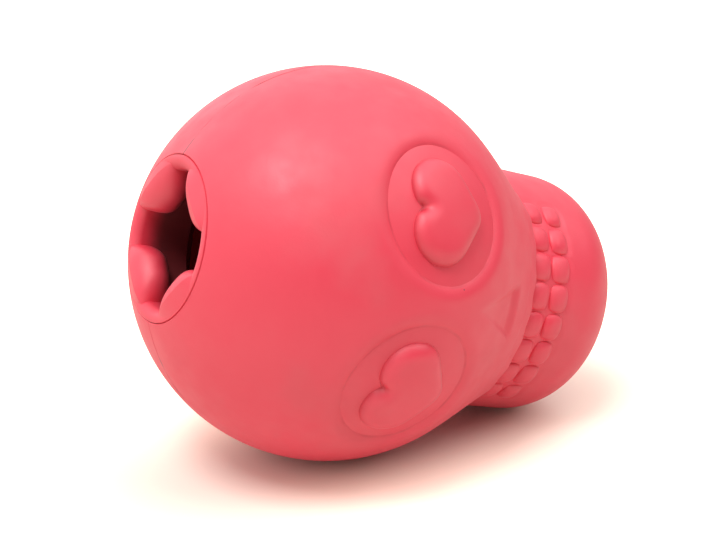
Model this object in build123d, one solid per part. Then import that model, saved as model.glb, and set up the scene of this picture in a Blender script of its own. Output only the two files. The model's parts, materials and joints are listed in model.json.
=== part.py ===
from build123d import *
import math
import os

# Hollow rubber chew toy in the shape of a round skull, lying on its side.
# It is drawn upright in its own frame first: the origin is the cranium's centre, +Z runs out of the
# mouth, -Y is the face and +X is the skull's own left. At the end it is laid down on its cheek.
# Sizes are in millimetres and degrees.

# Head and jaw
CRANIUM_RADIUS = 38.0
CRANIUM_WALL = 11.0
JAW_RADIUS = 25.1
JAW_BASE_DROP = 59.6
JAW_EDGE_RADIUS = 13.9
NECK_FILLET = 4.0
POCKET_RADIUS = 13.0
POCKET_END_RADIUS = 6.0
BASE_WALL = 14.0

# Mouth and its four lugs
MOUTH_LINE_RADIUS = 15.3
MOUTH_RING_FLARE = 10.0
MOUTH_RIM_LAND = 0.1
MOUTH_RIM_ROLL = 1.8
CHANNEL_WIDTH = 6.6
LUG_SEAT_LENGTH = 0.6
LUG_ROOT_LENGTH = 2.4
LUG_TONGUE_LENGTH = 1.7
LUG_NOSE_RADIUS = 4.5
LUG_HEEL_RADIUS = 2.0
LUG_PLACES = ("front_left", "back_left", "back_right", "front_right")

# Eyes
EYE_SPACING = 32.8
EYE_DROP = 0.4
EYE_HALF_WIDTH = 12.95
EYE_HALF_HEIGHT = 11.95
EYE_SINK = 1.0
EYE_SOFT_EDGE = 0.9
EYE_OVAL_THICKNESS = 3.0
HEART_LOBE_RADIUS = 5.8
HEART_LOBE_SPACING = 7.8
HEART_LOBE_HEIGHT = 1.35
HEART_TIP_DROP = 7.7
HEART_TIP_RADIUS = 2.0
HEART_NOTCH_RADIUS = 0.8
HEART_RISE = 2.1
HEART_SOFT_EDGE = 1.0

# Upper lip and nose
LIP_HEIGHT = 12.5
LIP_OVERHANG = 2.0
LIP_SINK = 0.5
NOSE_LIP_HEIGHT = 7.8
NOSE_HEIGHT = 13.2
NOSE_BASE_WIDTH = 9.2
NOSE_DEPTH = 1.2

# Teeth
TOOTH_COLUMNS = 8
TOOTH_PITCH = 13.2
TOOTH_GROOVE = 0.7
TOOTH_LIP_GAP = 0.2
UPPER_TOOTH_HEIGHT = 5.4
LOWER_TOOTH_HEIGHT = 4.9
TOOTH_RISE = 0.9
TOOTH_SEAT_GAP = 0.02
TOOTH_CORNER_RADIUS = 1.1
TOOTH_SOFT_EDGE = 0.5

# How far the face is rolled up from level as the toy lies
FACE_ROLL = 3.5

# Sizes that follow from the ones above
CAVITY_RADIUS = CRANIUM_RADIUS - CRANIUM_WALL
NECK_CENTRE_RADIUS = JAW_RADIUS + NECK_FILLET
NECK_DROP = math.sqrt((CRANIUM_RADIUS + NECK_FILLET) ** 2 - NECK_CENTRE_RADIUS ** 2)
NOSE_BASE_DROP = NECK_DROP - NOSE_LIP_HEIGHT
NOSE_TOP_DROP = NOSE_BASE_DROP - NOSE_HEIGHT
LIP_TOP_DROP = NECK_DROP - LIP_HEIGHT
EYE_ANGLE = math.degrees(math.asin(EYE_SPACING / 2 / CRANIUM_RADIUS))
EYE_TILT = -math.degrees(math.asin(EYE_DROP / CRANIUM_RADIUS))
EYE_FLOOR_RADIUS = CRANIUM_RADIUS - EYE_SINK
EYE_SEAT_RADIUS = EYE_FLOOR_RADIUS - EYE_OVAL_THICKNESS
MOUTH_LINE_HEIGHT = math.sqrt(CRANIUM_RADIUS ** 2 - MOUTH_LINE_RADIUS ** 2)
MOUTH_FOOT_RADIUS = MOUTH_LINE_RADIUS + MOUTH_LINE_HEIGHT * math.tan(math.radians(MOUTH_RING_FLARE))
RIM_TOUCH_RADIUS = MOUTH_LINE_RADIUS - MOUTH_RIM_LAND
RIM_ROLL_CENTRE = RIM_TOUCH_RADIUS * (1 - MOUTH_RIM_ROLL / CRANIUM_RADIUS)
BORE_RADIUS = RIM_ROLL_CENTRE - MOUTH_RIM_ROLL
LUG_FOLD_RADIUS = BORE_RADIUS - LUG_SEAT_LENGTH
LUG_SPLIT_RADIUS = LUG_FOLD_RADIUS - LUG_ROOT_LENGTH
LUG_TIP_RADIUS = LUG_SPLIT_RADIUS - LUG_TONGUE_LENGTH
LUG_ANGLE_STEP = 360 / len(LUG_PLACES)
LUG_ANGLES = {place: (index + 0.5) * LUG_ANGLE_STEP for index, place in enumerate(LUG_PLACES)}
LUG_TOP = math.sqrt(CRANIUM_RADIUS ** 2 - LUG_FOLD_RADIUS ** 2)
LUG_THICKNESS = LUG_NOSE_RADIUS + LUG_HEEL_RADIUS
REACH = CRANIUM_RADIUS + JAW_BASE_DROP


def bend(centre, radius, start, end):
    """Arc between two angles about a centre, in the plane of a profile."""
    angles = [math.radians(a) for a in (start, (start + end) / 2, end)]
    return ThreePointArc(*[(centre[0] + radius * math.cos(a), centre[1] + radius * math.sin(a))
                           for a in angles])


def revolved(edges):
    """Solid of revolution about Z from a closed run of edges, radius first and height second."""
    return revolve(Plane.XZ * make_face(edges), Axis.Z)


def half_space(plane):
    """Block that covers the side of a plane that its normal points to."""
    return plane * Box(4 * REACH, 4 * REACH, 2 * REACH, align=(Align.CENTER, Align.CENTER, Align.MIN))


def outward_plane(longitude, latitude):
    """Plane through the cranium's centre that faces a place on the head, with its Y towards the mouth."""
    turn, rise = math.radians(longitude), math.radians(latitude)
    facing = (math.cos(rise) * math.sin(turn), -math.cos(rise) * math.cos(turn), math.sin(rise))
    return Plane(origin=(0, 0, 0), x_dir=(math.cos(turn), math.sin(turn), 0), z_dir=facing)


def whole_cranium():
    """Round head down to the top of the jaw, with the soft neck fillet, still solid."""
    neck_angle = math.degrees(math.atan2(NECK_DROP, NECK_CENTRE_RADIUS))
    dome = bend((0, 0), CRANIUM_RADIUS, 90, -neck_angle)
    neck = bend((NECK_CENTRE_RADIUS, -NECK_DROP), NECK_FILLET, 180 - neck_angle, 180)
    floor = Line((JAW_RADIUS, -NECK_DROP), (0, -NECK_DROP))
    spine = Line((0, -NECK_DROP), (0, CRANIUM_RADIUS))
    return revolved([dome, neck, floor, spine])


def whole_jaw():
    """Jaw from the neck to its flat base, still solid."""
    edge_centre = (JAW_RADIUS - JAW_EDGE_RADIUS, JAW_EDGE_RADIUS - JAW_BASE_DROP)
    top = Line((0, -NECK_DROP), (JAW_RADIUS, -NECK_DROP))
    side = Line((JAW_RADIUS, -NECK_DROP), (JAW_RADIUS, edge_centre[1]))
    edge = bend(edge_centre, JAW_EDGE_RADIUS, 0, -90)
    base = Line((edge_centre[0], -JAW_BASE_DROP), (0, -JAW_BASE_DROP))
    spine = Line((0, -JAW_BASE_DROP), (0, -NECK_DROP))
    return revolved([top, side, edge, base, spine])


def upper_lip():
    """Straight cheek below the eyes: it starts just inside the round head and overhangs the jaw in front."""
    top_radius = math.sqrt((CRANIUM_RADIUS - LIP_SINK) ** 2 - LIP_TOP_DROP ** 2)
    top = Pos(0, 0, -LIP_TOP_DROP) * Circle(top_radius)
    bottom = Pos(0, -LIP_OVERHANG, -NECK_DROP) * Circle(JAW_RADIUS)
    return loft([bottom, top], ruled=True)


def treat_cavity():
    """Hollow that a treat goes into: a round chamber with a blind pocket down the jaw."""
    pocket = Cylinder(POCKET_RADIUS, JAW_BASE_DROP - BASE_WALL,
                      align=(Align.CENTER, Align.CENTER, Align.MAX))
    pocket = fillet(pocket.faces().sort_by(Axis.Z)[0].edges(), POCKET_END_RADIUS)
    return Sphere(CAVITY_RADIUS) + pocket


def mouth_plug():
    """Tapered plug inside the flash line: all that belongs to the mouth, filled in."""
    slope = math.tan(math.radians(MOUTH_RING_FLARE))
    upper_radius = MOUTH_FOOT_RADIUS - slope * CRANIUM_RADIUS
    return Cone(MOUTH_FOOT_RADIUS, upper_radius, CRANIUM_RADIUS, align=(Align.CENTER, Align.CENTER, Align.MIN))


def mouth_collar():
    """Collar inside the flash line: tapered outside, round bore, and a rim that rolls from the head into it."""
    line_angle = math.degrees(math.acos(MOUTH_LINE_RADIUS / CRANIUM_RADIUS))
    touch_angle = math.degrees(math.acos(RIM_TOUCH_RADIUS / CRANIUM_RADIUS))
    roll_height = math.sqrt((CRANIUM_RADIUS - MOUTH_RIM_ROLL) ** 2 - RIM_ROLL_CENTRE ** 2)
    land = bend((0, 0), CRANIUM_RADIUS, line_angle, touch_angle)
    roll = bend((RIM_ROLL_CENTRE, roll_height), MOUTH_RIM_ROLL, touch_angle, 180)
    bore = Line((BORE_RADIUS, roll_height), (BORE_RADIUS, 0))
    foot = Line((BORE_RADIUS, 0), (MOUTH_FOOT_RADIUS, 0))
    side = Line((MOUTH_FOOT_RADIUS, 0), (MOUTH_LINE_RADIUS, MOUTH_LINE_HEIGHT))
    return revolved([land, roll, bore, foot, side]) - treat_cavity()


def eye_prism(longitude, near, far):
    """Oval column of an eye between two distances from the cranium's centre."""
    plane = outward_plane(longitude, EYE_TILT).offset(near)
    return extrude(plane * Ellipse(EYE_HALF_WIDTH, EYE_HALF_HEIGHT), far - near)


def eye_recess(cranium, longitude):
    """Cut one eye's pocket into the head and soften its outer edge."""
    middle = EYE_SEAT_RADIUS / 2
    pocket = eye_prism(longitude, middle, REACH) - Sphere(EYE_SEAT_RADIUS)
    cut = cranium - pocket
    rim = cut.edges().filter_by(lambda e: e.is_closed)
    facing = outward_plane(longitude, EYE_TILT).z_dir
    rim = rim.sort_by(lambda e: e.center().dot(facing))[-1]
    return fillet(rim, EYE_SOFT_EDGE)


def eye_oval(longitude):
    """Sunken floor of an eye, a slice of a smaller ball that fills the bottom of its pocket."""
    column = eye_prism(longitude, EYE_SEAT_RADIUS / 2, REACH)
    return column & (Sphere(EYE_FLOOR_RADIUS) - Sphere(EYE_SEAT_RADIUS))


def heart_outline():
    """Heart in the plane of an eye: two round lobes, straight flanks and a round tip."""
    lobe = (HEART_LOBE_SPACING / 2, HEART_LOBE_HEIGHT)
    tip = (0, HEART_TIP_RADIUS - HEART_TIP_DROP)
    run = math.hypot(lobe[0] - tip[0], lobe[1] - tip[1])
    down = math.degrees(math.atan2(tip[1] - lobe[1], tip[0] - lobe[0]))
    flank = down + math.degrees(math.acos((HEART_LOBE_RADIUS - HEART_TIP_RADIUS) / run))
    notch = math.degrees(math.acos(-lobe[0] / HEART_LOBE_RADIUS))
    lobe_arc = bend(lobe, HEART_LOBE_RADIUS, notch, flank)
    tip_arc = bend(tip, HEART_TIP_RADIUS, flank, -90)
    half = [lobe_arc, Line(lobe_arc @ 1, tip_arc @ 0), tip_arc]
    outline = make_face(half + [mirror(edge, Plane.YZ) for edge in half])
    return fillet(outline.vertices().sort_by(lambda v: abs(v.X) - v.Y / REACH)[0], HEART_NOTCH_RADIUS)


def eye_heart(longitude):
    """Raised heart on the floor of an eye, lobes towards the mouth and tip towards the jaw."""
    plane = outward_plane(longitude, EYE_TILT)
    column = extrude(plane * heart_outline(), REACH)
    heart = column & (Sphere(EYE_FLOOR_RADIUS + HEART_RISE) - Sphere(EYE_FLOOR_RADIUS))
    crown = heart.faces().sort_by(lambda face: face.center().dot(plane.z_dir))[-1]
    return fillet(crown.edges(), HEART_SOFT_EDGE)


def nose_recess():
    """Wedge that is cut for the nose: flush at its top, deepest along its straight base."""
    top = Vector(0, -math.sqrt(CRANIUM_RADIUS ** 2 - NOSE_TOP_DROP ** 2), -NOSE_TOP_DROP)
    floor_radius = CRANIUM_RADIUS - NOSE_DEPTH
    base = Vector(0, -math.sqrt(floor_radius ** 2 - NOSE_BASE_DROP ** 2), -NOSE_BASE_DROP)
    rise = top - base
    floor = Plane(origin=base, x_dir=(1, 0, 0), z_dir=Vector(1, 0, 0).cross(rise))
    half = NOSE_BASE_WIDTH / 2
    outline = make_face(Polyline((-half, 0), (half, 0), (0, rise.length), close=True))
    return extrude(floor * outline, CRANIUM_RADIUS)


def lug_wedge():
    """Plan of one lug along +X, between two channels at right angles, from apex to outside the bore."""
    apex = CHANNEL_WIDTH / math.sqrt(2)
    outline = Polyline((apex, 0), (REACH, REACH - apex), (REACH, apex - REACH), close=True)
    return extrude(make_face(outline), 2 * REACH, both=True)


def lug_section():
    """Side view of one lug: flush with the head at its fold, round nose, smaller round heel."""
    nose_centre = (LUG_TIP_RADIUS + LUG_NOSE_RADIUS, LUG_TOP - LUG_NOSE_RADIUS)
    heel_centre = (LUG_TIP_RADIUS + LUG_HEEL_RADIUS, nose_centre[1])
    bottom = LUG_TOP - LUG_THICKNESS
    nose = bend(nose_centre, LUG_NOSE_RADIUS, 90, 180)
    heel = bend(heel_centre, LUG_HEEL_RADIUS, 180, 270)
    under = Line((heel_centre[0], bottom), (CRANIUM_RADIUS, bottom))
    back = Line((CRANIUM_RADIUS, bottom), (CRANIUM_RADIUS, REACH))
    over = Polyline((CRANIUM_RADIUS, REACH), (nose_centre[0], REACH), (nose_centre[0], LUG_TOP))
    face = Plane.XZ * make_face([nose, heel, under, back, over])
    return extrude(face, REACH, both=True) & Sphere(CRANIUM_RADIUS)


def band(inner, outer):
    """Slab between two distances along +X, used to cut a lug into its seat, web and tongue."""
    slab = Box(outer - inner, 2 * REACH, 4 * REACH, align=(Align.MIN, Align.CENTER, Align.CENTER))
    return Pos(inner, 0, 0) * slab


def tooth_row(top_drop, height):
    """One row of tooth pads round the front of the jaw, each a rounded pad on the jaw's own curve."""
    pitch = 2 * JAW_RADIUS * math.sin(math.radians(TOOTH_PITCH / 2))
    outline = RectangleRounded(pitch - TOOTH_GROOVE, height - TOOTH_GROOVE, TOOTH_CORNER_RADIUS)
    seat = Cylinder(JAW_RADIUS + TOOTH_SEAT_GAP, 4 * REACH)
    crown = Cylinder(JAW_RADIUS + TOOTH_RISE, 4 * REACH)
    teeth = []
    for column in range(TOOTH_COLUMNS):
        longitude = (column - (TOOTH_COLUMNS - 1) / 2) * TOOTH_PITCH
        plane = outward_plane(longitude, 0)
        block = extrude(plane * outline, REACH) & (Pos(0, 0, top_drop + height / 2) * crown)
        tooth = Pos(0, 0, -top_drop - height / 2) * (block - seat)
        edges = tooth.edges().filter_by(lambda e: on_cylinder(e, JAW_RADIUS + TOOTH_RISE))
        teeth.append(fillet(edges, TOOTH_SOFT_EDGE))
    return teeth


def on_cylinder(edge, radius):
    """True for an edge whose ends and middle all lie at one distance from the Z axis."""
    points = [edge @ 0, edge @ 0.5, edge @ 1]
    return all(abs(math.hypot(p.X, p.Y) - radius) < 1e-3 for p in points)


def head_nodes():
    """The two halves of the head, cut at the parting line, and the jaw, all round one hollow."""
    hollow = treat_cavity()
    head = whole_cranium() + upper_lip() - hollow - mouth_plug() - nose_recess()
    front = head & half_space(Plane.XZ)
    for longitude in (EYE_ANGLE, -EYE_ANGLE):
        front = eye_recess(front, longitude)
    back = head & half_space(-Plane.XZ)
    return {"cranium_front": front, "cranium_back": back, "jaw": whole_jaw() - hollow}


def mouth_nodes():
    """Collar of the mouth with its lug seats, and each lug's flexing web and moving tongue."""
    bore = Cylinder(BORE_RADIUS, 4 * REACH)
    ring = mouth_collar()
    lug = lug_wedge() & lug_section()
    seat = lug & band(LUG_FOLD_RADIUS, REACH) & Cylinder(RIM_ROLL_CENTRE, 4 * REACH)
    web = lug & band(LUG_SPLIT_RADIUS, LUG_FOLD_RADIUS) & bore
    tongue = lug & band(0, LUG_SPLIT_RADIUS)
    nodes = {}
    for place, longitude in LUG_ANGLES.items():
        turn = Rot(0, 0, longitude - 90)
        ring += turn * seat
        nodes[f"lug_root_{place}"] = turn * web
        nodes[f"lug_{place}"] = turn * tongue
    return {"mouth_ring": ring, **nodes}


def face_nodes():
    """Eyes and teeth."""
    nodes = {}
    for side, longitude in (("left", EYE_ANGLE), ("right", -EYE_ANGLE)):
        nodes[f"eye_oval_{side}"] = eye_oval(longitude)
        nodes[f"eye_heart_{side}"] = eye_heart(longitude)
    upper_drop = NECK_DROP + TOOTH_LIP_GAP
    lower_drop = upper_drop + UPPER_TOOTH_HEIGHT
    nodes["upper_teeth"] = Compound(children=tooth_row(upper_drop, UPPER_TOOTH_HEIGHT))
    nodes["lower_teeth"] = Compound(children=tooth_row(lower_drop, LOWER_TOOTH_HEIGHT))
    return nodes


def resting_place(nodes):
    """Turn and shift that lay the toy down: head and jaw edge both touch the table, mouth to -X."""
    run = JAW_BASE_DROP - JAW_EDGE_RADIUS
    step = JAW_RADIUS - JAW_EDGE_RADIUS
    lean = math.asin((CRANIUM_RADIUS - JAW_EDGE_RADIUS) / math.hypot(run, step)) - math.atan2(step, run)
    lay_down = Rot(0, math.degrees(lean) - 90, 0) * Rot(0, 0, FACE_ROLL)
    box = Compound([lay_down * shape for shape in nodes.values()]).bounding_box()
    middle = box.center()
    return Pos(-middle.X, -middle.Y, -box.min.Z) * lay_down


NODES = {**head_nodes(), **mouth_nodes(), **face_nodes()}
PLACE = resting_place(NODES)

os.makedirs("parts", exist_ok=True)
for name, shape in NODES.items():
    export_step(PLACE * shape, f"parts/{name}.step")
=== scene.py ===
import json
import math

import bmesh
import bpy
from mathutils import Matrix, Vector, noise


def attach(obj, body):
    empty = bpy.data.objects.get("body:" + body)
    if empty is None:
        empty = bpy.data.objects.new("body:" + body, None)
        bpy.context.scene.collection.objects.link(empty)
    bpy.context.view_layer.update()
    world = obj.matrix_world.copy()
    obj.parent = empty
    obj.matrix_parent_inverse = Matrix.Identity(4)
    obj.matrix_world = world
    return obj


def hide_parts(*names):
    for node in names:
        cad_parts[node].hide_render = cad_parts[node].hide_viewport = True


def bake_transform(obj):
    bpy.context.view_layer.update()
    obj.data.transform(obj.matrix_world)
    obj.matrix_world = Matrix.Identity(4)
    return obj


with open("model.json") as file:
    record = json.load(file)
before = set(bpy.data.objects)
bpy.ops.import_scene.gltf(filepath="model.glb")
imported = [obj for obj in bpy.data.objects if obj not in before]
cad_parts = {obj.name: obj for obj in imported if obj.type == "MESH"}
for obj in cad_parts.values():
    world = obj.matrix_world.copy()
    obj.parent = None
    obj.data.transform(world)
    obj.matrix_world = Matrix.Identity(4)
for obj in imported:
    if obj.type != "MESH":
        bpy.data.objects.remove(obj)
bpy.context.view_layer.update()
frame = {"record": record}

# The toy is modelled upright in its own frame, in millimetres and degrees: the origin is the head's
# centre, +Z runs out of the mouth, -Y is the face and +X is the skull's own left.

# Head and jaw; what lies within the skin depth of their round shapes counts as skin
HEAD_RADIUS = 38.0
HOLLOW_RADIUS = 27.0
JAW_RADIUS = 25.1
JAW_BASE_DROP = 59.6
JAW_EDGE_RADIUS = 13.9
NECK_FILLET = 4.0
POCKET_RADIUS = 13.0
POCKET_END_RADIUS = 6.0
BASE_WALL = 14.0
SKIN_DEPTH = 0.9
FACE_ROLL = 3.5

# Parting line between the two halves of the mould, whose depth follows a noise along it
SEAM_ANGLE = 1.2
SEAM_DEPTH = 0.28
SEAM_WAVES = 0.31
SEAM_CONTRAST = 2.5
SEAM_NOISE_ASIDE = 7.0
SEAM_NOISE_LAYER = 1.7

# Mouth: the flash line round it, its rolled rim and four lugs
FLASH_RADIUS = 15.3
FLASH_HALF_WIDTH = 0.06
FLASH_SOFTNESS = 0.16
CONE_FLARE = 10.0
RIM_LAND = 0.1
RIM_ROLL = 1.8
CHANNEL_WIDTH = 6.6
LUG_SEAT_LENGTH = 0.6
LUG_ROOT_LENGTH = 2.4
LUG_TONGUE_LENGTH = 1.7
LUG_NOSE_RADIUS = 4.5
LUG_HEEL_RADIUS = 2.0
LUG_SQUARENESS = 4.0
LUG_LAST_TURN = 88.0
LUG_ANGLES = {"front_left": 45, "back_left": 135, "back_right": 225, "front_right": 315}

# Eyes; the heart is filled by loops at these shares of its outline
EYE_SPACING = 32.8
EYE_DROP = 0.4
EYE_HALF_WIDTH = 12.95
EYE_HALF_HEIGHT = 11.95
EYE_SINK = 0.85
EYE_ROLL_WIDTH = 2.7
EYE_UNDERCUT = 1.2
EYE_FLATNESS = 0.2
EYE_LINE_DEPTH = 0.06
EYE_EDGE_ROUND = 0.06
EYE_LEAST_REACH = 0.05
HEART_LOBE_RADIUS = 5.8
HEART_LOBE_SPACING = 7.8
HEART_LOBE_HEIGHT = 1.35
HEART_TIP_DROP = 7.7
HEART_TIP_RADIUS = 2.0
HEART_RISE = 1.95
HEART_ROLL = 2.6
HEART_RIDGE = 2.0
HEART_FOOT = 0.8
HEART_LOOPS = (0.997, 0.99, 0.98, 0.965, 0.945, 0.92, 0.89, 0.85, 0.8, 0.74, 0.66, 0.56, 0.44, 0.3, 0.15)

# Upper lip and nose; the two shares say where along the neck the lip's round edge starts and ends
LIP_TOP_DROP = 17.785
LIP_FULL_ANGLE = 35.0
LIP_GONE_ANGLE = 76.0
LIP_EDGE_DROP = 29.6
LIP_UNDER_DROP = 30.2
LIP_UNDER_RADIUS = 26.6
LIP_EDGE_START = 0.4
LIP_EDGE_END = 0.8
LIP_WAVE = 0.14
NOSE_TOP_DROP = 9.285
NOSE_BASE_DROP = 22.485
NOSE_BASE_WIDTH = 9.2
NOSE_DEPTH = 0.88
NOSE_SIDE_SOFTNESS = 1.7
NOSE_BASE_SOFTNESS = 2.0
NOSE_SLOPE = 0.7

# Teeth: each row has the drop of its top and its height
TOOTH_COLUMNS = 8
TOOTH_PITCH = 13.2
TOOTH_GROOVE = 0.06
TOOTH_ROWS = {"upper": (30.485, 5.4), "lower": (35.885, 4.9)}
TOOTH_RISE = 0.88
TOOTH_SEAT = 0.1
TOOTH_FOOT = 1.0
TOOTH_CORNER = 1.7
TOOTH_RECESS = 0.18
TOOTH_RECESS_WIDTH = 1.3
TOOTH_ROUND = 0.35
TOOTH_FULLNESS = 2.7
TOOTH_CROWN = 0.8
TOOTH_UNEVEN = 0.04
TOOTH_NOISE_PITCH = 3.7
TOOTH_NOISE_ASIDE = 26.5
TOOTH_NOISE_LAYER = 2.1
END_TOOTH_SHRINK = 0.1
END_TOOTH_POWER = 4

# Fineness: steps of arcs and turns, and cuts in straight runs
DOME_STEPS = 186
NECK_STEPS = 26
HOLLOW_STEPS = 46
FRONT_STEPS = 292
BACK_STEPS = 140
SEAM_STEPS = 4
ROUND_STEPS = 360
BASE_CUTS = 5
JAW_EDGE_STEPS = 44
JAW_SIDE_CUTS = 37
POCKET_CUTS = 3
POCKET_END_STEPS = 10
RIM_STEPS = 20
BORE_CUTS = 9
COLLAR_FOOT_STEPS = 6
LUG_SEAT_STEPS = 12
LUG_NOSE_STEPS = 24
LUG_HEEL_STEPS = 14
LUG_UNDER_CUTS = 8
LUG_LOOPS = 34
EYE_STEPS = 160
EYE_FLOOR_CUTS = 23
EYE_EDGE_STEPS = 5
HEART_LOBE_STEPS = 72
HEART_FLANK_CUTS = 20
HEART_TIP_STEPS = 8
TOOTH_SEGMENTS = 20
WELD = 0.0005
SHARP_ANGLE = 50.0

# Rubber: tones and gloss
CORAL = (0.88, 0.044, 0.087, 1)
CORAL_DEEP = (0.82, 0.034, 0.066, 1)
BLOOM_TONE = (0.74, 0.13, 0.15, 1)
SPECK_TONE = (0.16, 0.012, 0.02, 1)
# Painted shade deep down in the mouth's throat
THROAT_PAINTED_SHADE = (0.16, 0.012, 0.016, 1)
# Painted shade on the wall of the treat hollow
HOLLOW_PAINTED_SHADE = (0.55, 0.06, 0.08, 1)
# Painted shade in the parting line between the mould's halves
SEAM_PAINTED_SHADE = (0.26, 0.014, 0.026, 1)
# Painted shade in the crease round each eye's oval
EYE_LINE_PAINTED_SHADE = (0.7, 0.036, 0.065, 1)
# Painted shade at the hearts' feet
HEART_FOOT_PAINTED_SHADE = (0.66, 0.032, 0.06, 1)
SATIN = 0.44
SHINE = 0.85
SHEEN = 0.03
SHEEN_SOFTNESS = 0.45

# Rubber: noise in its skin, each with its scale per metre, detail and the levels that become 0 and 1
DRIFT_NOISE = (38.0, 2.0, 0.35, 0.7)
DRIFT_SHARE = 0.35
BLOOM_NOISE = (62.0, 4.0, 0.5, 0.72)
BLOOM_SHARE = 0.35
BLOOM_ROUGHNESS = 0.5
POLISH_NOISE = (210.0, 3.0, 0.3, 0.7)
POLISH_SHARE = 0.1
FINE_NOISE = (2600.0, 2.0, 0.2, 0.8)
FINE_SHARE = 0.35
DENT_NOISE = (420.0, 3.0, 0.2, 0.8)
# Noise that breaks the painted shade lines of the parting line and of the eyes' ovals
SEAM_SHADE_NOISE = (190.0, 3.0, 0.44, 0.58)
EYE_LINE_NOISE = (190.0, 3.0, 0.4, 0.7)
SPECK_SCALE = 190.0
SPECK_SIZE = 0.03
SPECK_RARITY = 0.9
SPECK_SHARE = 0.8
RELIEF_STRENGTH = 0.12
RELIEF_DEPTH = 0.2

# Rubber: where its painted shades start and end, and the least strength of its broken lines of painted shade
# Depths at which the painted shade of the throat and of the hollow starts and is full
INNER_SHADE_START = 33.6
INNER_SHADE_FULL = 29.0
HEART_SHADE_TOP = 38.7
HEART_SHADE_LOW = 37.0
SEAM_SHADE_WIDTH = 0.34
SEAM_SHADE_LEAST = 0.08
EYE_LINE_WIDTH = 0.4
EYE_LINE_LEAST = 0.1

# Floor and light, in metres and watts: the floor turns white for the camera outside an oval patch that
# holds the shadow; there its glow paints the shadow's soft edge and, with its warm tint, the toy's red bounce
# light
FLOOR_HALF_SIZE = 3.0
FLOOR_TONE = (0.84, 0.79, 0.71, 1)
# Warm tint of the floor's glow, which paints the toy's red bounce light into the shadow's edge
FLOOR_GLOW = (1.0, 0.7, 0.55, 1)
FLOOR_ROUGHNESS = 0.9
FLOOR_SHINE = 0.1
FLOOR_MIDDLE = (0.004, -0.0015, 0)
FLOOR_PATCH = (0.066, 0.0265, 1)
FLOOR_NEAR = 0.28
FLOOR_FAR = 1.85
FLOOR_WHITE = 1.5
FLOOR_REFLECTED = 0.15
TENT_SIDE = (-0.35, 0.55, 0.76)
TENT_FROM = -0.3
TENT_TO = 0.9
TENT_DIM = 0.1
TENT_BRIGHT = 2.0
TENT_LIGHT = 0.42
LAMP_DISTANCE = 2.2
SOFTBOX_SIDE = (-0.386, -0.17, 0.904)
SOFTBOX_SIZE = 0.86
SOFTBOX_POWER = 24.5
OVERHEAD_SIDE = (0.5, -0.35, 0.79)
OVERHEAD_SIZE = 1.9
OVERHEAD_POWER = 20.0

# Camera of the photograph, found from the outline of the head and jaw
CAMERA_AZIMUTH = -31.60
CAMERA_ELEVATION = 17.985
CAMERA_DISTANCE = 250.0
CAMERA_ASIDE = 6.51
CAMERA_RAISE = -1.344
CAMERA_LENS = 64.385
CAMERA_NEAR_CLIP = 10.0

# Sizes that follow from the ones above
NECK_CENTRE = JAW_RADIUS + NECK_FILLET
NECK_DROP = math.sqrt((HEAD_RADIUS + NECK_FILLET) ** 2 - NECK_CENTRE ** 2)
NECK_TURN = math.degrees(math.atan2(NECK_DROP, NECK_CENTRE))
NECK_START_DROP = HEAD_RADIUS * math.sin(math.radians(NECK_TURN))
EYE_ANGLE = math.degrees(math.asin(EYE_SPACING / 2 / HEAD_RADIUS))
EYE_TILT = -math.degrees(math.asin(EYE_DROP / HEAD_RADIUS))
EYE_FLOOR_RADIUS = HEAD_RADIUS - EYE_SINK
LIP_TOP_RADIUS = math.sqrt(HEAD_RADIUS ** 2 - LIP_TOP_DROP ** 2)
LIP_SLOPE = LIP_TOP_DROP / LIP_TOP_RADIUS
CONE_SLOPE = math.tan(math.radians(CONE_FLARE))
RIM_TOUCH = FLASH_RADIUS - RIM_LAND
RIM_CENTRE = RIM_TOUCH * (1 - RIM_ROLL / HEAD_RADIUS)
BORE_RADIUS = RIM_CENTRE - RIM_ROLL
LUG_APEX = CHANNEL_WIDTH / math.sqrt(2)
LUG_FOLD = BORE_RADIUS - LUG_SEAT_LENGTH
LUG_SPLIT = LUG_FOLD - LUG_ROOT_LENGTH
LUG_TIP = LUG_SPLIT - LUG_TONGUE_LENGTH
LUG_TOP = math.sqrt(HEAD_RADIUS ** 2 - LUG_FOLD ** 2)
LUG_BOTTOM = LUG_TOP - LUG_NOSE_RADIUS - LUG_HEEL_RADIUS
LUG_MIDDLE = (LUG_TIP + RIM_TOUCH) / 2
LUG_MIDDLE_HEIGHT = (LUG_TOP + LUG_BOTTOM) / 2
TOOTH_MIDDLE_COLUMN = (TOOTH_COLUMNS - 1) / 2

# The toy's place on the floor, read from the mount on its base
MM = 0.001
BASE_MOUNT = next(mount for mount in frame["record"]["mounts"] if mount["name"] == "jaw_base")
MOUTH_AXIS = -Vector(BASE_MOUNT["axis"])
HEAD_CENTRE = Vector(BASE_MOUNT["pos_m"]) + MOUTH_AXIS * JAW_BASE_DROP * MM
LEAN = math.asin(MOUTH_AXIS.z)
TOY = (Matrix.Translation(HEAD_CENTRE) @ Matrix.Rotation(LEAN - math.pi / 2, 4, "Y")
       @ Matrix.Rotation(math.radians(FACE_ROLL), 4, "Z") @ Matrix.Scale(MM, 4))
FACE_DIRECTION = (TOY.to_3x3() @ Vector((0, -1, 0))).normalized()

SIDEWAYS = (0, 1, 0)
UPWARD = (0, 0, 1)
DOWNWARD = (0, 0, -1)


def height_on(radius, reach):
    """Height at which a ball of that radius is as wide as the reach."""
    return math.sqrt(radius ** 2 - reach ** 2)


def smooth_step(value):
    """Ease from 0 to 1, flat outside."""
    t = min(max(value, 0.0), 1.0)
    return t * t * (3 - 2 * t)


def mix(low, high, share):
    """Value that lies a share of the way from low to high."""
    return low + (high - low) * share


def soft_least(first, second, softness):
    """The smaller of two values, eased where they are nearly equal."""
    blend = max(softness - abs(first - second), 0.0) / softness
    return min(first, second) - blend * blend * softness / 4


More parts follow.
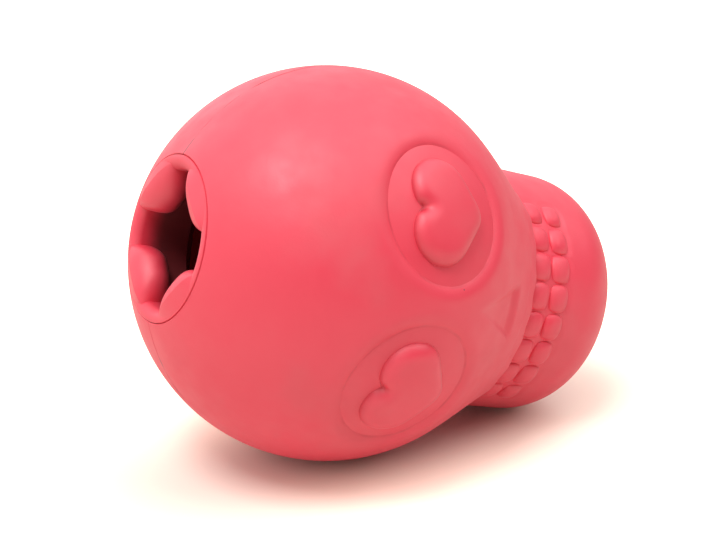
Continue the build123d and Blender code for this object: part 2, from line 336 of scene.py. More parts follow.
def arc(shape, vertex, centre, turn, steps, axis=SIDEWAYS):
    """Draw an arc on from a vertex and return its last vertex. A turn about SIDEWAYS runs clockwise."""
    made = bmesh.ops.spin(shape, geom=[vertex], cent=centre, axis=axis,
                          angle=math.radians(turn), steps=steps)
    return next(part for part in made["geom_last"] if isinstance(part, bmesh.types.BMVert))


def line(shape, vertex, place, cuts=0):
    """Draw a straight run on from a vertex and return its last vertex."""
    start, end = vertex.co.copy(), Vector(place)
    for step in range(1, cuts + 2):
        reached = shape.verts.new(start.lerp(end, step / (cuts + 1)))
        shape.edges.new((vertex, reached))
        vertex = reached
    return vertex


def drawn(shape):
    """Everything drawn so far, ready to be spun or mirrored."""
    return shape.verts[:] + shape.edges[:]


def spin_on(shape, geometry, angle, steps):
    """Turn a profile on about the toy's axis and return the geometry at its far end."""
    made = bmesh.ops.spin(shape, geom=geometry, cent=(0, 0, 0), axis=UPWARD,
                          angle=math.radians(angle), steps=steps)
    return made["geom_last"]


def spin_round(shape, steps):
    """Turn the drawn profile once round the toy's axis, into a closed skin."""
    bmesh.ops.spin(shape, geom=drawn(shape), cent=(0, 0, 0), axis=UPWARD,
                   angle=2 * math.pi, steps=steps, use_merge=True)


def extrude_loop(shape, loop):
    """Extrude a loop of edges in place and return the new loop's vertices and edges."""
    made = bmesh.ops.extrude_edge_only(shape, edges=loop)["geom"]
    ring = [part for part in made if isinstance(part, bmesh.types.BMVert)]
    edges = [part for part in made if isinstance(part, bmesh.types.BMEdge) and part.is_boundary]
    return ring, edges


def close_holes(shape):
    """Close every open loop of a shape with one face."""
    open_edges = [edge for edge in shape.edges if edge.is_boundary]
    bmesh.ops.holes_fill(shape, edges=open_edges, sides=0)


def new_object(name, data):
    """Object with that mesh, lamp or camera, in the scene."""
    made = bpy.data.objects.new(name, data)
    bpy.context.scene.collection.objects.link(made)
    return made


def add_piece(shape, name, nodes, material, body="skull"):
    """Lay a finished shape down with the toy, as a piece that stands for its CAD nodes."""
    bmesh.ops.remove_doubles(shape, verts=shape.verts, dist=WELD)
    bmesh.ops.recalc_face_normals(shape, faces=shape.faces)
    bmesh.ops.transform(shape, matrix=TOY, verts=shape.verts)
    mesh = bpy.data.meshes.new(name)
    shape.to_mesh(mesh)
    shape.free()
    mesh.shade_smooth()
    mesh.set_sharp_from_angle(angle=math.radians(SHARP_ANGLE))
    mesh.materials.append(material)
    piece = new_object(name, mesh)
    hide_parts(*nodes)
    if body:
        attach(piece, body)
    return piece


def eye_axes(longitude):
    """Turn from an eye's own plane, X to the skull's left and Y to the mouth, into the toy's frame."""
    return (Matrix.Rotation(math.radians(longitude), 4, "Z")
            @ Matrix.Rotation(math.radians(90 - EYE_TILT), 4, "X"))


def eye_reach(x, y):
    """How far out a point of an eye's plane lies: 0 at the middle, 1 on the oval line."""
    return math.hypot(x / EYE_HALF_WIDTH, y / EYE_HALF_HEIGHT)


def eye_floor_height(x, y):
    """Height of an eye's sunken floor over its plane, a little flatter than the head."""
    flattening = EYE_FLATNESS * max(0.0, 1 - eye_reach(x, y) ** 2)
    return height_on(EYE_FLOOR_RADIUS, math.hypot(x, y)) - flattening


def eye_depth(point, to_eye):
    """How far the head rolls down towards one eye's oval line at a point of its skin."""
    local = to_eye @ point
    if local.z < 0:
        return 0.0
    reach = eye_reach(local.x, local.y)
    gap = math.hypot(local.x, local.y) * (1 - 1 / max(reach, EYE_LEAST_REACH))
    if gap > EYE_ROLL_WIDTH:
        return 0.0
    line_drop = EYE_SINK + EYE_LINE_DEPTH
    if gap < 0:
        return min(line_drop * (1 - 2 * gap / EYE_ROLL_WIDTH), line_drop + EYE_UNDERCUT)
    return line_drop * (1 - gap / EYE_ROLL_WIDTH) ** 2


def nose_depth(point):
    """Depth of the three-cornered nose: it deepens from its top to the step along its base."""
    drop = -point.z
    share = (drop - NOSE_TOP_DROP) / (NOSE_BASE_DROP - NOSE_TOP_DROP)
    if share < 0 or point.y > 0:
        return 0.0
    inside = NOSE_BASE_WIDTH / 2 * share - abs(point.x)
    side = smooth_step(inside / NOSE_SIDE_SOFTNESS + 0.5)
    base = smooth_step((NOSE_BASE_DROP - drop) / NOSE_BASE_SOFTNESS + 0.5)
    return NOSE_DEPTH * min(share, 1.0) ** NOSE_SLOPE * side * base


def on_cheek(drop):
    """Reach and drop of a point on the straight cheek above the lip's edge."""
    return Vector((LIP_TOP_RADIUS - LIP_SLOPE * (drop - LIP_TOP_DROP), drop))


def lip_place(drop):
    """Reach and drop that a point of the round neck takes where the upper lip is full."""
    if drop <= NECK_START_DROP:
        return on_cheek(drop)
    share = (drop - NECK_START_DROP) / (NECK_DROP - NECK_START_DROP)
    edge = on_cheek(LIP_EDGE_DROP)
    if share < LIP_EDGE_START:
        return on_cheek(NECK_START_DROP).lerp(edge, share / LIP_EDGE_START)
    under = Vector((LIP_UNDER_RADIUS, LIP_UNDER_DROP))
    if share < LIP_EDGE_END:
        corner = on_cheek(LIP_UNDER_DROP)
        t = (share - LIP_EDGE_START) / (LIP_EDGE_END - LIP_EDGE_START)
        return edge.lerp(corner, t).lerp(corner.lerp(under, t), t)
    return under.lerp(Vector((JAW_RADIUS, NECK_DROP)), (share - LIP_EDGE_END) / (1 - LIP_EDGE_END))


def shape_lip(point):
    """Draw the neck out into the upper lip, full over the front teeth and gone at the sides."""
    drop = -point.z
    angle = math.degrees(math.atan2(abs(point.x), -point.y))
    fullness = smooth_step((LIP_GONE_ANGLE - angle) / (LIP_GONE_ANGLE - LIP_FULL_ANGLE))
    if drop < LIP_TOP_DROP or fullness == 0:
        return
    reach = math.hypot(point.x, point.y)
    lip_reach, lip_drop = lip_place(drop)
    if drop > NECK_START_DROP:
        lip_drop += LIP_WAVE * math.cos(2 * math.pi * angle / TOOTH_PITCH)
    widen = mix(reach, lip_reach, fullness) / reach
    point.x *= widen
    point.y *= widen
    point.z = -mix(drop, lip_drop, fullness)


def seam_depth(point):
    """Depth of the broken parting line between the two halves of the mould."""
    if abs(point.y) > WELD:
        return 0.0
    place = (SEAM_WAVES * point.z, math.copysign(SEAM_NOISE_ASIDE, point.x), SEAM_NOISE_LAYER)
    return SEAM_DEPTH * smooth_step(0.5 + SEAM_CONTRAST * noise.noise(Vector(place)))


def cone_foot_radius(edge_radius):
    """Radius at which the cone wall below a mouth edge meets the hollow's ball."""
    top = height_on(HEAD_RADIUS, edge_radius)
    # The drop down the cone solves squared * drop^2 + 2 * single * drop + fixed = 0.
    squared = 1 + CONE_SLOPE ** 2
    single = edge_radius * CONE_SLOPE - top
    fixed = edge_radius ** 2 + top ** 2 - HOLLOW_RADIUS ** 2
    drop = (-single - math.sqrt(single ** 2 - squared * fixed)) / squared
    return edge_radius + CONE_SLOPE * drop


def head_profile(shape):
    """Closed section of the head's wall: soft mouth edge, dome, neck, floor, hollow and mouth cone."""
    edge_radius = FLASH_RADIUS + FLASH_HALF_WIDTH
    skin_radius = edge_radius + FLASH_SOFTNESS
    start = shape.verts.new((edge_radius, 0, height_on(HEAD_RADIUS, edge_radius) - FLASH_SOFTNESS))
    skin = line(shape, start, (skin_radius, 0, height_on(HEAD_RADIUS, skin_radius)))
    dome_turn = math.degrees(math.acos(skin_radius / HEAD_RADIUS)) + NECK_TURN
    neck = arc(shape, skin, (0, 0, 0), dome_turn, DOME_STEPS)
    neck = arc(shape, neck, (NECK_CENTRE, 0, -NECK_DROP), -NECK_TURN, NECK_STEPS)
    floor = line(shape, neck, (POCKET_RADIUS, 0, -NECK_DROP))
    pocket = line(shape, floor, (POCKET_RADIUS, 0, -height_on(HOLLOW_RADIUS, POCKET_RADIUS)))
    foot_radius = cone_foot_radius(edge_radius)
    hollow_turn = math.degrees(math.acos(POCKET_RADIUS / HOLLOW_RADIUS)
                               + math.acos(foot_radius / HOLLOW_RADIUS))
    foot = arc(shape, pocket, (0, 0, 0), -hollow_turn, HOLLOW_STEPS)
    shape.edges.new((foot, start))


def head_half(direction, steps):
    """One half of the head, spun from the parting plane to its other side."""
    shape = bmesh.new()
    head_profile(shape)
    ends = drawn(shape)
    runs = ((SEAM_ANGLE, SEAM_STEPS), (180 - 2 * SEAM_ANGLE, steps), (SEAM_ANGLE, SEAM_STEPS))
    for angle, count in runs:
        ends = spin_on(shape, ends, direction * angle, count)
    close_holes(shape)
    return shape


def is_head_skin(point):
    """True for a point on the outside of the head, not inside its hollow."""
    return point.length >= HEAD_RADIUS - SKIN_DEPTH


def head_front(material):
    """Front of the head, with the rolls round its eyes, the nose and the upper lip."""
    shape = head_half(-1, FRONT_STEPS)
    to_eyes = [eye_axes(side * EYE_ANGLE).inverted() for side in (1, -1)]
    for vertex in shape.verts:
        point = vertex.co
        if is_head_skin(point):
            depth = seam_depth(point) + nose_depth(point)
            depth += sum(eye_depth(point, to_eye) for to_eye in to_eyes)
            shape_lip(point)
            point -= point.normalized() * depth
    add_piece(shape, "head_front", ["cranium_front"], material)


def head_back(material):
    """Plain round back of the head."""
    shape = head_half(1, BACK_STEPS)
    for vertex in shape.verts:
        point = vertex.co
        if is_head_skin(point):
            point -= point.normalized() * seam_depth(point)
    add_piece(shape, "head_back", ["cranium_back"], material)


def tooth_middle(row, column):
    """Longitude and drop of one tooth's middle."""
    top, height = TOOTH_ROWS[row]
    return (column - TOOTH_MIDDLE_COLUMN) * TOOTH_PITCH, top + height / 2


def tooth_half_size(row):
    """Half the width and half the height of a tooth in a row."""
    width = math.radians(TOOTH_PITCH) * JAW_RADIUS
    return (width - TOOTH_GROOVE) / 2, (TOOTH_ROWS[row][1] - TOOTH_GROOVE) / 2


def tooth_gap(longitude, drop):
    """Distance on the jaw's side from a place to the nearest tooth's outline."""
    column = round(longitude / TOOTH_PITCH + TOOTH_MIDDLE_COLUMN)
    column = min(max(column, 0), TOOTH_COLUMNS - 1)
    gaps = []
    for row in TOOTH_ROWS:
        middle_longitude, middle_drop = tooth_middle(row, column)
        half_width, half_height = tooth_half_size(row)
        across = abs(math.radians(longitude - middle_longitude) * JAW_RADIUS) - half_width + TOOTH_CORNER
        down = abs(drop - middle_drop) - half_height + TOOTH_CORNER
        gaps.append(math.hypot(max(across, 0), max(down, 0)) - TOOTH_CORNER)
    return min(gaps)


def jaw_profile(shape):
    """Section of the jaw's wall: base, soft edge, side, top and blind pocket."""
    edge_centre = (JAW_RADIUS - JAW_EDGE_RADIUS, 0, JAW_EDGE_RADIUS - JAW_BASE_DROP)
    pocket_end = BASE_WALL - JAW_BASE_DROP
    end_centre = (POCKET_RADIUS - POCKET_END_RADIUS, 0, POCKET_END_RADIUS + pocket_end)
    start = shape.verts.new((0, 0, -JAW_BASE_DROP))
    base = line(shape, start, (edge_centre[0], 0, -JAW_BASE_DROP), BASE_CUTS)
    side = arc(shape, base, edge_centre, -90, JAW_EDGE_STEPS)
    neck = line(shape, side, (JAW_RADIUS, 0, -NECK_DROP), JAW_SIDE_CUTS)
    mouth = line(shape, neck, (POCKET_RADIUS, 0, -NECK_DROP))
    wall = line(shape, mouth, (POCKET_RADIUS, 0, end_centre[2]), POCKET_CUTS)
    end = arc(shape, wall, end_centre, 90, POCKET_END_STEPS)
    line(shape, end, (0, 0, pocket_end), POCKET_CUTS)


def jaw_skin(material):
    """Jaw with its soft base edge, its blind pocket and the shallow bed that the teeth stand in."""
    shape = bmesh.new()
    jaw_profile(shape)
    spin_round(shape, ROUND_STEPS)
    for vertex in shape.verts:
        point = vertex.co
        reach = math.hypot(point.x, point.y)
        if reach < JAW_RADIUS - SKIN_DEPTH or point.z > WELD - NECK_DROP:
            continue
        gap = tooth_gap(math.degrees(math.atan2(point.x, -point.y)), -point.z)
        bed = TOOTH_RECESS * (1 - smooth_step(gap / TOOTH_RECESS_WIDTH))
        point.x *= 1 - bed / reach
        point.y *= 1 - bed / reach
    add_piece(shape, "jaw_skin", ["jaw"], material)


def tooth_size(column):
    """Width, height and fullness of one tooth, a little uneven and smaller at the ends of its row."""
    end = (abs(column - TOOTH_MIDDLE_COLUMN) / TOOTH_MIDDLE_COLUMN) ** END_TOOTH_POWER
    sizes = []
    for measure in range(3):
        place = (TOOTH_NOISE_PITCH * column, TOOTH_NOISE_ASIDE, TOOTH_NOISE_LAYER * measure)
        uneven = TOOTH_UNEVEN * (0.5 + noise.noise(Vector(place)))
        sizes.append(1 - END_TOOTH_SHRINK * end - uneven)
    return sizes


def tooth_row(row, material):
    """One row of pillow teeth, bent round the front of the jaw."""
    shape = bmesh.new()
    half_width, half_height = tooth_half_size(row)
    for column in range(TOOTH_COLUMNS):
        longitude, drop = tooth_middle(row, column)
        wide, high, full = tooth_size(column)
        grid = bmesh.ops.create_grid(shape, x_segments=TOOTH_SEGMENTS, y_segments=TOOTH_SEGMENTS, size=1)
        pad = grid["verts"]
        rim = dict.fromkeys(edge for vertex in pad for edge in vertex.link_edges if edge.is_boundary)
        foot_verts, foot_edges = extrude_loop(shape, list(rim))
        bmesh.ops.translate(shape, verts=foot_verts, vec=(0, 0, -TOOTH_FOOT))
        bmesh.ops.edgeloop_fill(shape, edges=foot_edges)
        for vertex in pad + foot_verts:
            s, t, below = vertex.co
            across = wide * half_width * s * math.sqrt(1 - TOOTH_ROUND * t * t)
            down = high * half_height * t * math.sqrt(1 - TOOTH_ROUND * s * s)
            crown = (1 - abs(s) ** TOOTH_FULLNESS) * (1 - abs(t) ** TOOTH_FULLNESS)
            crown = full * max(0.0, crown) ** TOOTH_CROWN
            reach = JAW_RADIUS - TOOTH_SEAT + (TOOTH_SEAT + TOOTH_RISE) * crown + below
            turn = math.radians(longitude) + across / JAW_RADIUS
            vertex.co = (reach * math.sin(turn), -reach * math.cos(turn), -drop - down)
    add_piece(shape, f"tooth_row_{row}", [f"{row}_teeth"], material)


def eye_floor(side, longitude, material):
    """Sunken oval of an eye, with the fine soft edge that makes its crisp line."""
    shape = bmesh.new()
    middle = shape.verts.new((0, 0, 0))
    round_share = EYE_EDGE_ROUND / EYE_HALF_HEIGHT
    edge = line(shape, middle, (1 - round_share, 0, 0), EYE_FLOOR_CUTS)
    for step in range(1, EYE_EDGE_STEPS + 1):
        turn = math.radians(90 * step / EYE_EDGE_STEPS)
        bend = (1 - round_share * (1 - math.sin(turn)), 0, EYE_EDGE_ROUND * (math.cos(turn) - 1))
        edge = line(shape, edge, bend)
    foot = line(shape, edge, (1, 0, -EYE_SINK))
    line(shape, foot, (0, 0, -EYE_SINK))
    spin_round(shape, EYE_STEPS)
    bmesh.ops.scale(shape, verts=shape.verts, vec=(EYE_HALF_WIDTH, EYE_HALF_HEIGHT, 1))
    for vertex in shape.verts:
        vertex.co.z += eye_floor_height(vertex.co.x, vertex.co.y)
    bmesh.ops.transform(shape, matrix=eye_axes(longitude), verts=shape.verts)
    add_piece(shape, f"eye_floor_{side}", [f"eye_oval_{side}"], material)


def heart_corners():
    """Lobe centre, tip centre, notch and flank angle of the heart's left half."""
    lobe = Vector((HEART_LOBE_SPACING / 2, HEART_LOBE_HEIGHT))
    tip = Vector((0, HEART_TIP_RADIUS - HEART_TIP_DROP))
    down = math.atan2(tip.y - lobe.y, tip.x - lobe.x)
    flank = down + math.acos((HEART_LOBE_RADIUS - HEART_TIP_RADIUS) / (lobe - tip).length)
    notch = Vector((0, lobe.y + height_on(HEART_LOBE_RADIUS, lobe.x)))
    return lobe, tip, notch, flank


def heart_side_depth(x, y):
    """Distance from a point inside the heart to the outline of one half: lobe, notch or flank."""
    lobe, tip, notch, flank = heart_corners()
    offset = Vector((x, y)) - lobe
    angle = math.atan2(offset.y, offset.x)
    if flank <= angle <= math.atan2(notch.y - lobe.y, notch.x - lobe.x):
        return HEART_LOBE_RADIUS - offset.length
    to_flank = HEART_LOBE_RADIUS - offset.dot(Vector((math.cos(flank), math.sin(flank))))
    return min(to_flank, (Vector((x, y)) - notch).length)


def heart_height(x, y):
    """Height of the pillow heart over the eye's floor."""
    depth = soft_least(heart_side_depth(x, y), heart_side_depth(-x, y), HEART_RIDGE)
    share = min(max(depth / HEART_ROLL, 0.0), 1.0)
    return HEART_RISE * math.sqrt(1 - (1 - share) ** 2)


def heart_outline(shape):
    """Outline of the heart: notch, round lobe, straight flank and round tip, then mirrored."""
    lobe, tip, notch, flank = heart_corners()
    notch_turn = math.degrees(math.atan2(notch.y - lobe.y, notch.x - lobe.x))
    flank_turn = math.degrees(flank)
    start = shape.verts.new(notch.to_3d())
    lobe_end = arc(shape, start, lobe.to_3d(), notch_turn - flank_turn, HEART_LOBE_STEPS, DOWNWARD)
    tip_start = tip + HEART_TIP_RADIUS * Vector((math.cos(flank), math.sin(flank)))
    flank_end = line(shape, lobe_end, tip_start.to_3d(), HEART_FLANK_CUTS)
    arc(shape, flank_end, tip.to_3d(), flank_turn + 90, HEART_TIP_STEPS, DOWNWARD)
    bmesh.ops.mirror(shape, geom=drawn(shape), matrix=Matrix.Identity(4), merge_dist=WELD, axis="X")
    bmesh.ops.remove_doubles(shape, verts=shape.verts, dist=WELD)
    return shape.edges[:]


def heart(side, longitude, material):
    """Pillow heart on an eye's floor, lobes to the mouth and tip to the jaw."""
    shape = bmesh.new()
    loop = heart_outline(shape)
    foot_verts, foot_edges = extrude_loop(shape, loop)
    bmesh.ops.translate(shape, verts=foot_verts, vec=(0, 0, -HEART_FOOT))
    bmesh.ops.edgeloop_fill(shape, edges=foot_edges)
    reached = 1.0
    for size in HEART_LOOPS:
        ring, loop = extrude_loop(shape, loop)
        bmesh.ops.scale(shape, verts=ring, vec=(size / reached, size / reached, 1))
        reached = size
    bmesh.ops.edgeloop_fill(shape, edges=loop)
    for vertex in shape.verts:
        x, y, z = vertex.co
        rise = heart_height(x, y) if z > -HEART_FOOT / 2 else 0
        vertex.co.z = eye_floor_height(x, y) + z + rise
    bmesh.ops.transform(shape, matrix=eye_axes(longitude), verts=shape.verts)
    add_piece(shape, f"heart_{side}", [f"eye_heart_{side}"], material)


def mouth_collar(material):
    """Collar inside the flash line: its rim rolls softly into the bore."""
    shape = bmesh.new()
    edge_radius = FLASH_RADIUS - FLASH_HALF_WIDTH
    roll_height = height_on(HEAD_RADIUS - RIM_ROLL, RIM_CENTRE)
    roll_angle = math.degrees(math.atan2(roll_height, RIM_CENTRE))
    foot_radius = cone_foot_radius(edge_radius)
    foot_turn = math.degrees(math.acos(foot_radius / HOLLOW_RADIUS)
                             - math.acos(BORE_RADIUS / HOLLOW_RADIUS))
    start = shape.verts.new((edge_radius, 0, height_on(HEAD_RADIUS, edge_radius) - FLASH_SOFTNESS))
    rim = line(shape, start, (RIM_TOUCH, 0, height_on(HEAD_RADIUS, RIM_TOUCH)))
    bore = arc(shape, rim, (RIM_CENTRE, 0, roll_height), roll_angle - 180, RIM_STEPS)
    low = line(shape, bore, (BORE_RADIUS, 0, height_on(HOLLOW_RADIUS, BORE_RADIUS)), BORE_CUTS)
    foot = arc(shape, low, (0, 0, 0), -foot_turn, COLLAR_FOOT_STEPS)
    shape.edges.new((foot, start))
    spin_round(shape, ROUND_STEPS)
    add_piece(shape, "mouth_collar", ["mouth_ring"], material)


def lug_outline(shape):
    """Side view of one lug along +X: seat on the head's ball, fold, round nose, heel and underside."""
    nose_centre = (LUG_TIP + LUG_NOSE_RADIUS, 0, LUG_TOP - LUG_NOSE_RADIUS)
    heel_centre = (LUG_TIP + LUG_HEEL_RADIUS, 0, LUG_TOP - LUG_NOSE_RADIUS)
    nose_reach = LUG_FOLD - nose_centre[0]
    nose_turn = math.degrees(math.acos(nose_reach / LUG_NOSE_RADIUS))
    nose_top = nose_centre[2] + height_on(LUG_NOSE_RADIUS, nose_reach)
    seat_turn = math.degrees(math.asin(RIM_TOUCH / HEAD_RADIUS) - math.asin(LUG_FOLD / HEAD_RADIUS))
    start = shape.verts.new((RIM_TOUCH, 0, height_on(HEAD_RADIUS, RIM_TOUCH)))
    fold = arc(shape, start, (0, 0, 0), -seat_turn, LUG_SEAT_STEPS)
    nose_start = line(shape, fold, (LUG_FOLD, 0, nose_top))
    nose = arc(shape, nose_start, nose_centre, nose_turn - 180, LUG_NOSE_STEPS)
    heel = arc(shape, nose, heel_centre, -90, LUG_HEEL_STEPS)
    under = line(shape, heel, (RIM_TOUCH, 0, LUG_BOTTOM), LUG_UNDER_CUTS)
    shape.edges.new((under, start))
    return shape.edges[:]


def lug_place(outward, share, height):
    """Place of a point of a lug's side view at a share of its width: round flanks, top on the head's ball."""
    old_top = height_on(HEAD_RADIUS, max(outward, LUG_FOLD))
    if outward > LUG_FOLD:
        seat_end = height_on(RIM_TOUCH, share * (LUG_FOLD - LUG_APEX))
        outward = LUG_FOLD + (outward - LUG_FOLD) * (seat_end - LUG_FOLD) / (RIM_TOUCH - LUG_FOLD)
    shrink = (1 - abs(share) ** LUG_SQUARENESS) ** (1 / LUG_SQUARENESS)
    outward = mix(LUG_MIDDLE, outward, shrink)
    aside = share * (min(outward, LUG_FOLD) - LUG_APEX)
    new_top = height_on(HEAD_RADIUS, math.hypot(max(outward, LUG_FOLD), aside))
    follow = smooth_step((height - LUG_BOTTOM) / (LUG_TOP - LUG_BOTTOM))
    return outward, aside, mix(LUG_MIDDLE_HEIGHT, height, shrink) + (new_top - old_top) * follow


def lug_shares():
    """Shares of a lug's half width at which its side view is repeated, closer together at its flanks."""
    shares = []
    for step in range(LUG_LOOPS + 1):
        turn = math.sin(math.radians(LUG_LAST_TURN * (2 * step / LUG_LOOPS - 1)))
        shares.append(math.copysign(abs(turn) ** (2 / LUG_SQUARENESS), turn))
    return shares


def lug(place, angle, material):
    """One lug of the mouth, thick and round-nosed between two channels; its web bends at the fold."""
    shape = bmesh.new()
    loop = lug_outline(shape)
    shares = lug_shares()
    bmesh.ops.translate(shape, verts=shape.verts, vec=(0, shares[0], 0))
    bmesh.ops.edgeloop_fill(shape, edges=loop)
    for before, share in zip(shares, shares[1:]):
        ring, loop = extrude_loop(shape, loop)
        bmesh.ops.translate(shape, verts=ring, vec=(0, share - before, 0))
    bmesh.ops.edgeloop_fill(shape, edges=loop)
    for vertex in shape.verts:
        vertex.co = lug_place(*vertex.co)
    turn = Matrix.Rotation(math.radians(angle - 90), 4, "Z")
    bmesh.ops.transform(shape, matrix=turn, verts=shape.verts)
    piece = add_piece(shape, f"tongue_{place}", [f"lug_root_{place}", f"lug_{place}"], material, body=None)
    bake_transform(piece)


def feed(link, socket, value):
    """Give a socket its value: another node's output, a number or a tone."""
    if isinstance(value, bpy.types.NodeSocket):
        link(value, socket)
    else:
        socket.default_value = value


def worked(nodes, link, operation, first, second=0.0):
    """Result of one sum on two values, each a socket or a number."""
    node = nodes.new("ShaderNodeMath")
    node.operation = operation
    feed(link, node.inputs[0], first)
    feed(link, node.inputs[1], second)
    return node.outputs["Value"]


def vector_worked(nodes, link, operation, vector, other=(0, 0, 0)):
    """Outputs of one sum on a vector socket and a fixed vector."""
    node = nodes.new("ShaderNodeVectorMath")
    node.operation = operation
    node.inputs[1].default_value = other
    link(vector, node.inputs[0])
    return node.outputs


def stretched(nodes, link, value, levels, results=(0, 1), interpolation="LINEAR"):
    """Value stretched from one pair of levels to another, and held at its ends."""
    node = nodes.new("ShaderNodeMapRange")
    node.interpolation_type = interpolation
    for name, level in zip(("From Min", "From Max", "To Min", "To Max"), (*levels, *results)):
        node.inputs[name].default_value = level
    link(value, node.inputs["Value"])
    return node.outputs["Result"]


def blended(nodes, link, share, first, second, kind="RGBA"):
    """Blend of two colours or two values by a mask."""
    node = nodes.new("ShaderNodeMix")
    node.data_type = kind
    link(share, node.inputs["Factor"])
    feed(link, node.inputs["A"], first)
    feed(link, node.inputs["B"], second)
    return node.outputs["Result"]


def noise_mask(nodes, link, place, pattern, least=0):
    """Noise of a pattern, stretched between its two levels to run from a least value to 1."""
    scale, detail, low, high = pattern
    texture = nodes.new("ShaderNodeTexNoise")
    texture.inputs["Scale"].default_value = scale
    texture.inputs["Detail"].default_value = detail
    link(place, texture.inputs["Vector"])
    return stretched(nodes, link, texture.outputs["Fac"], (low, high), (least, 1))


def speck_mask(nodes, link, place):
    """A few tiny dark specks, scattered over the rubber."""
    cells = nodes.new("ShaderNodeTexVoronoi")
    cells.inputs["Scale"].default_value = SPECK_SCALE
    link(place, cells.inputs["Vector"])
    near = worked(nodes, link, "LESS_THAN", cells.outputs["Distance"], SPECK_SIZE)
    chance = nodes.new("ShaderNodeSeparateColor")
    link(cells.outputs["Color"], chance.inputs["Color"])
    rare = worked(nodes, link, "GREATER_THAN", chance.outputs["Red"], SPECK_RARITY)
    return worked(nodes, link, "MULTIPLY", worked(nodes, link, "MULTIPLY", near, rare), SPECK_SHARE)


def rubber_grain():
    """Shader group of the rubber's skin: colour drift, dusty bloom, dark specks and fine grain."""
    group = bpy.data.node_groups.new("rubber_grain", "ShaderNodeTree")
    for name in ("Tone", "Deep tone", "Bloom tone"):
        group.interface.new_socket(name, in_out="INPUT", socket_type="NodeSocketColor")
    group.interface.new_socket("Bloom", in_out="INPUT", socket_type="NodeSocketFloat")
    group.interface.new_socket("Color", in_out="OUTPUT", socket_type="NodeSocketColor")
    for name in ("Roughness", "Height"):
        group.interface.new_socket(name, in_out="OUTPUT", socket_type="NodeSocketFloat")
    nodes, link = group.nodes, group.links.new
    given = nodes.new("NodeGroupInput").outputs
    result = nodes.new("NodeGroupOutput").inputs
    place = nodes.new("ShaderNodeTexCoord").outputs["Object"]

    def scaled_noise(pattern, share):
        """Noise mask times a share."""
        return worked(nodes, link, "MULTIPLY", noise_mask(nodes, link, place, pattern), share)

    haze = scaled_noise(BLOOM_NOISE, given["Bloom"])
    drift = scaled_noise(DRIFT_NOISE, DRIFT_SHARE)
    colour = blended(nodes, link, drift, given["Tone"], given["Deep tone"])
    colour = blended(nodes, link, haze, colour, given["Bloom tone"])
    colour = blended(nodes, link, speck_mask(nodes, link, place), colour, SPECK_TONE)
    link(colour, result["Color"])
    polish = scaled_noise(POLISH_NOISE, POLISH_SHARE)
    dusty = worked(nodes, link, "MULTIPLY", haze, BLOOM_ROUGHNESS)
    uneven = worked(nodes, link, "ADD", polish, dusty)
    link(worked(nodes, link, "ADD", uneven, SATIN), result["Roughness"])
    dents = noise_mask(nodes, link, place, DENT_NOISE)
    link(worked(nodes, link, "ADD", scaled_noise(FINE_NOISE, FINE_SHARE), dents), result["Height"])
    return group


def from_centre(nodes, link):
    """Place of a point of the surface, measured from the head's centre."""
    place = nodes.new("ShaderNodeTexCoord").outputs["Object"]
    return vector_worked(nodes, link, "SUBTRACT", place, HEAD_CENTRE)["Vector"]


def along(nodes, link, direction):
    """Distance from the head's centre along a direction."""
    return vector_worked(nodes, link, "DOT_PRODUCT", from_centre(nodes, link), direction)["Value"]


def eased(nodes, link, value, none, full):
    """Mask that eases from 0 to 1 between two distances in millimetres."""
    return stretched(nodes, link, value, (none * MM, full * MM), interpolation="SMOOTHSTEP")


def throat_painted_shade(nodes, link):
    """How far a point of the mouth lies down in the throat, where painted shade darkens it."""
    return eased(nodes, link, along(nodes, link, MOUTH_AXIS), INNER_SHADE_START, INNER_SHADE_FULL)


def depth_mask(nodes, link, none, full):
    """Mask that grows from 0 to 1 as a point lies deeper in the head, between two radii."""
    radius = vector_worked(nodes, link, "LENGTH", from_centre(nodes, link))["Value"]
    return eased(nodes, link, radius, none, full)


def hollow_painted_shade(nodes, link):
    """1 on the wall of the treat hollow, where painted shade darkens it, 0 on the outer skin."""
    return depth_mask(nodes, link, INNER_SHADE_START, INNER_SHADE_FULL)


def heart_foot_painted_shade(nodes, link):
    """Painted shade that darkens a heart's side down towards its foot."""
    return depth_mask(nodes, link, HEART_SHADE_TOP, HEART_SHADE_LOW)


def broken(nodes, link, mask, pattern, least):
    """Line of painted shade with an uneven strength along its run."""
    strength = noise_mask(nodes, link, from_centre(nodes, link), pattern, least)
    return worked(nodes, link, "MULTIPLY", mask, strength)


def seam_painted_shade(nodes, link):
    """Broken dark line of painted shade in the parting line between the two halves of the mould."""
    aside = worked(nodes, link, "ABSOLUTE", along(nodes, link, FACE_DIRECTION))
    on_line = eased(nodes, link, aside, SEAM_SHADE_WIDTH, 0)
    return broken(nodes, link, on_line, SEAM_SHADE_NOISE, SEAM_SHADE_LEAST)


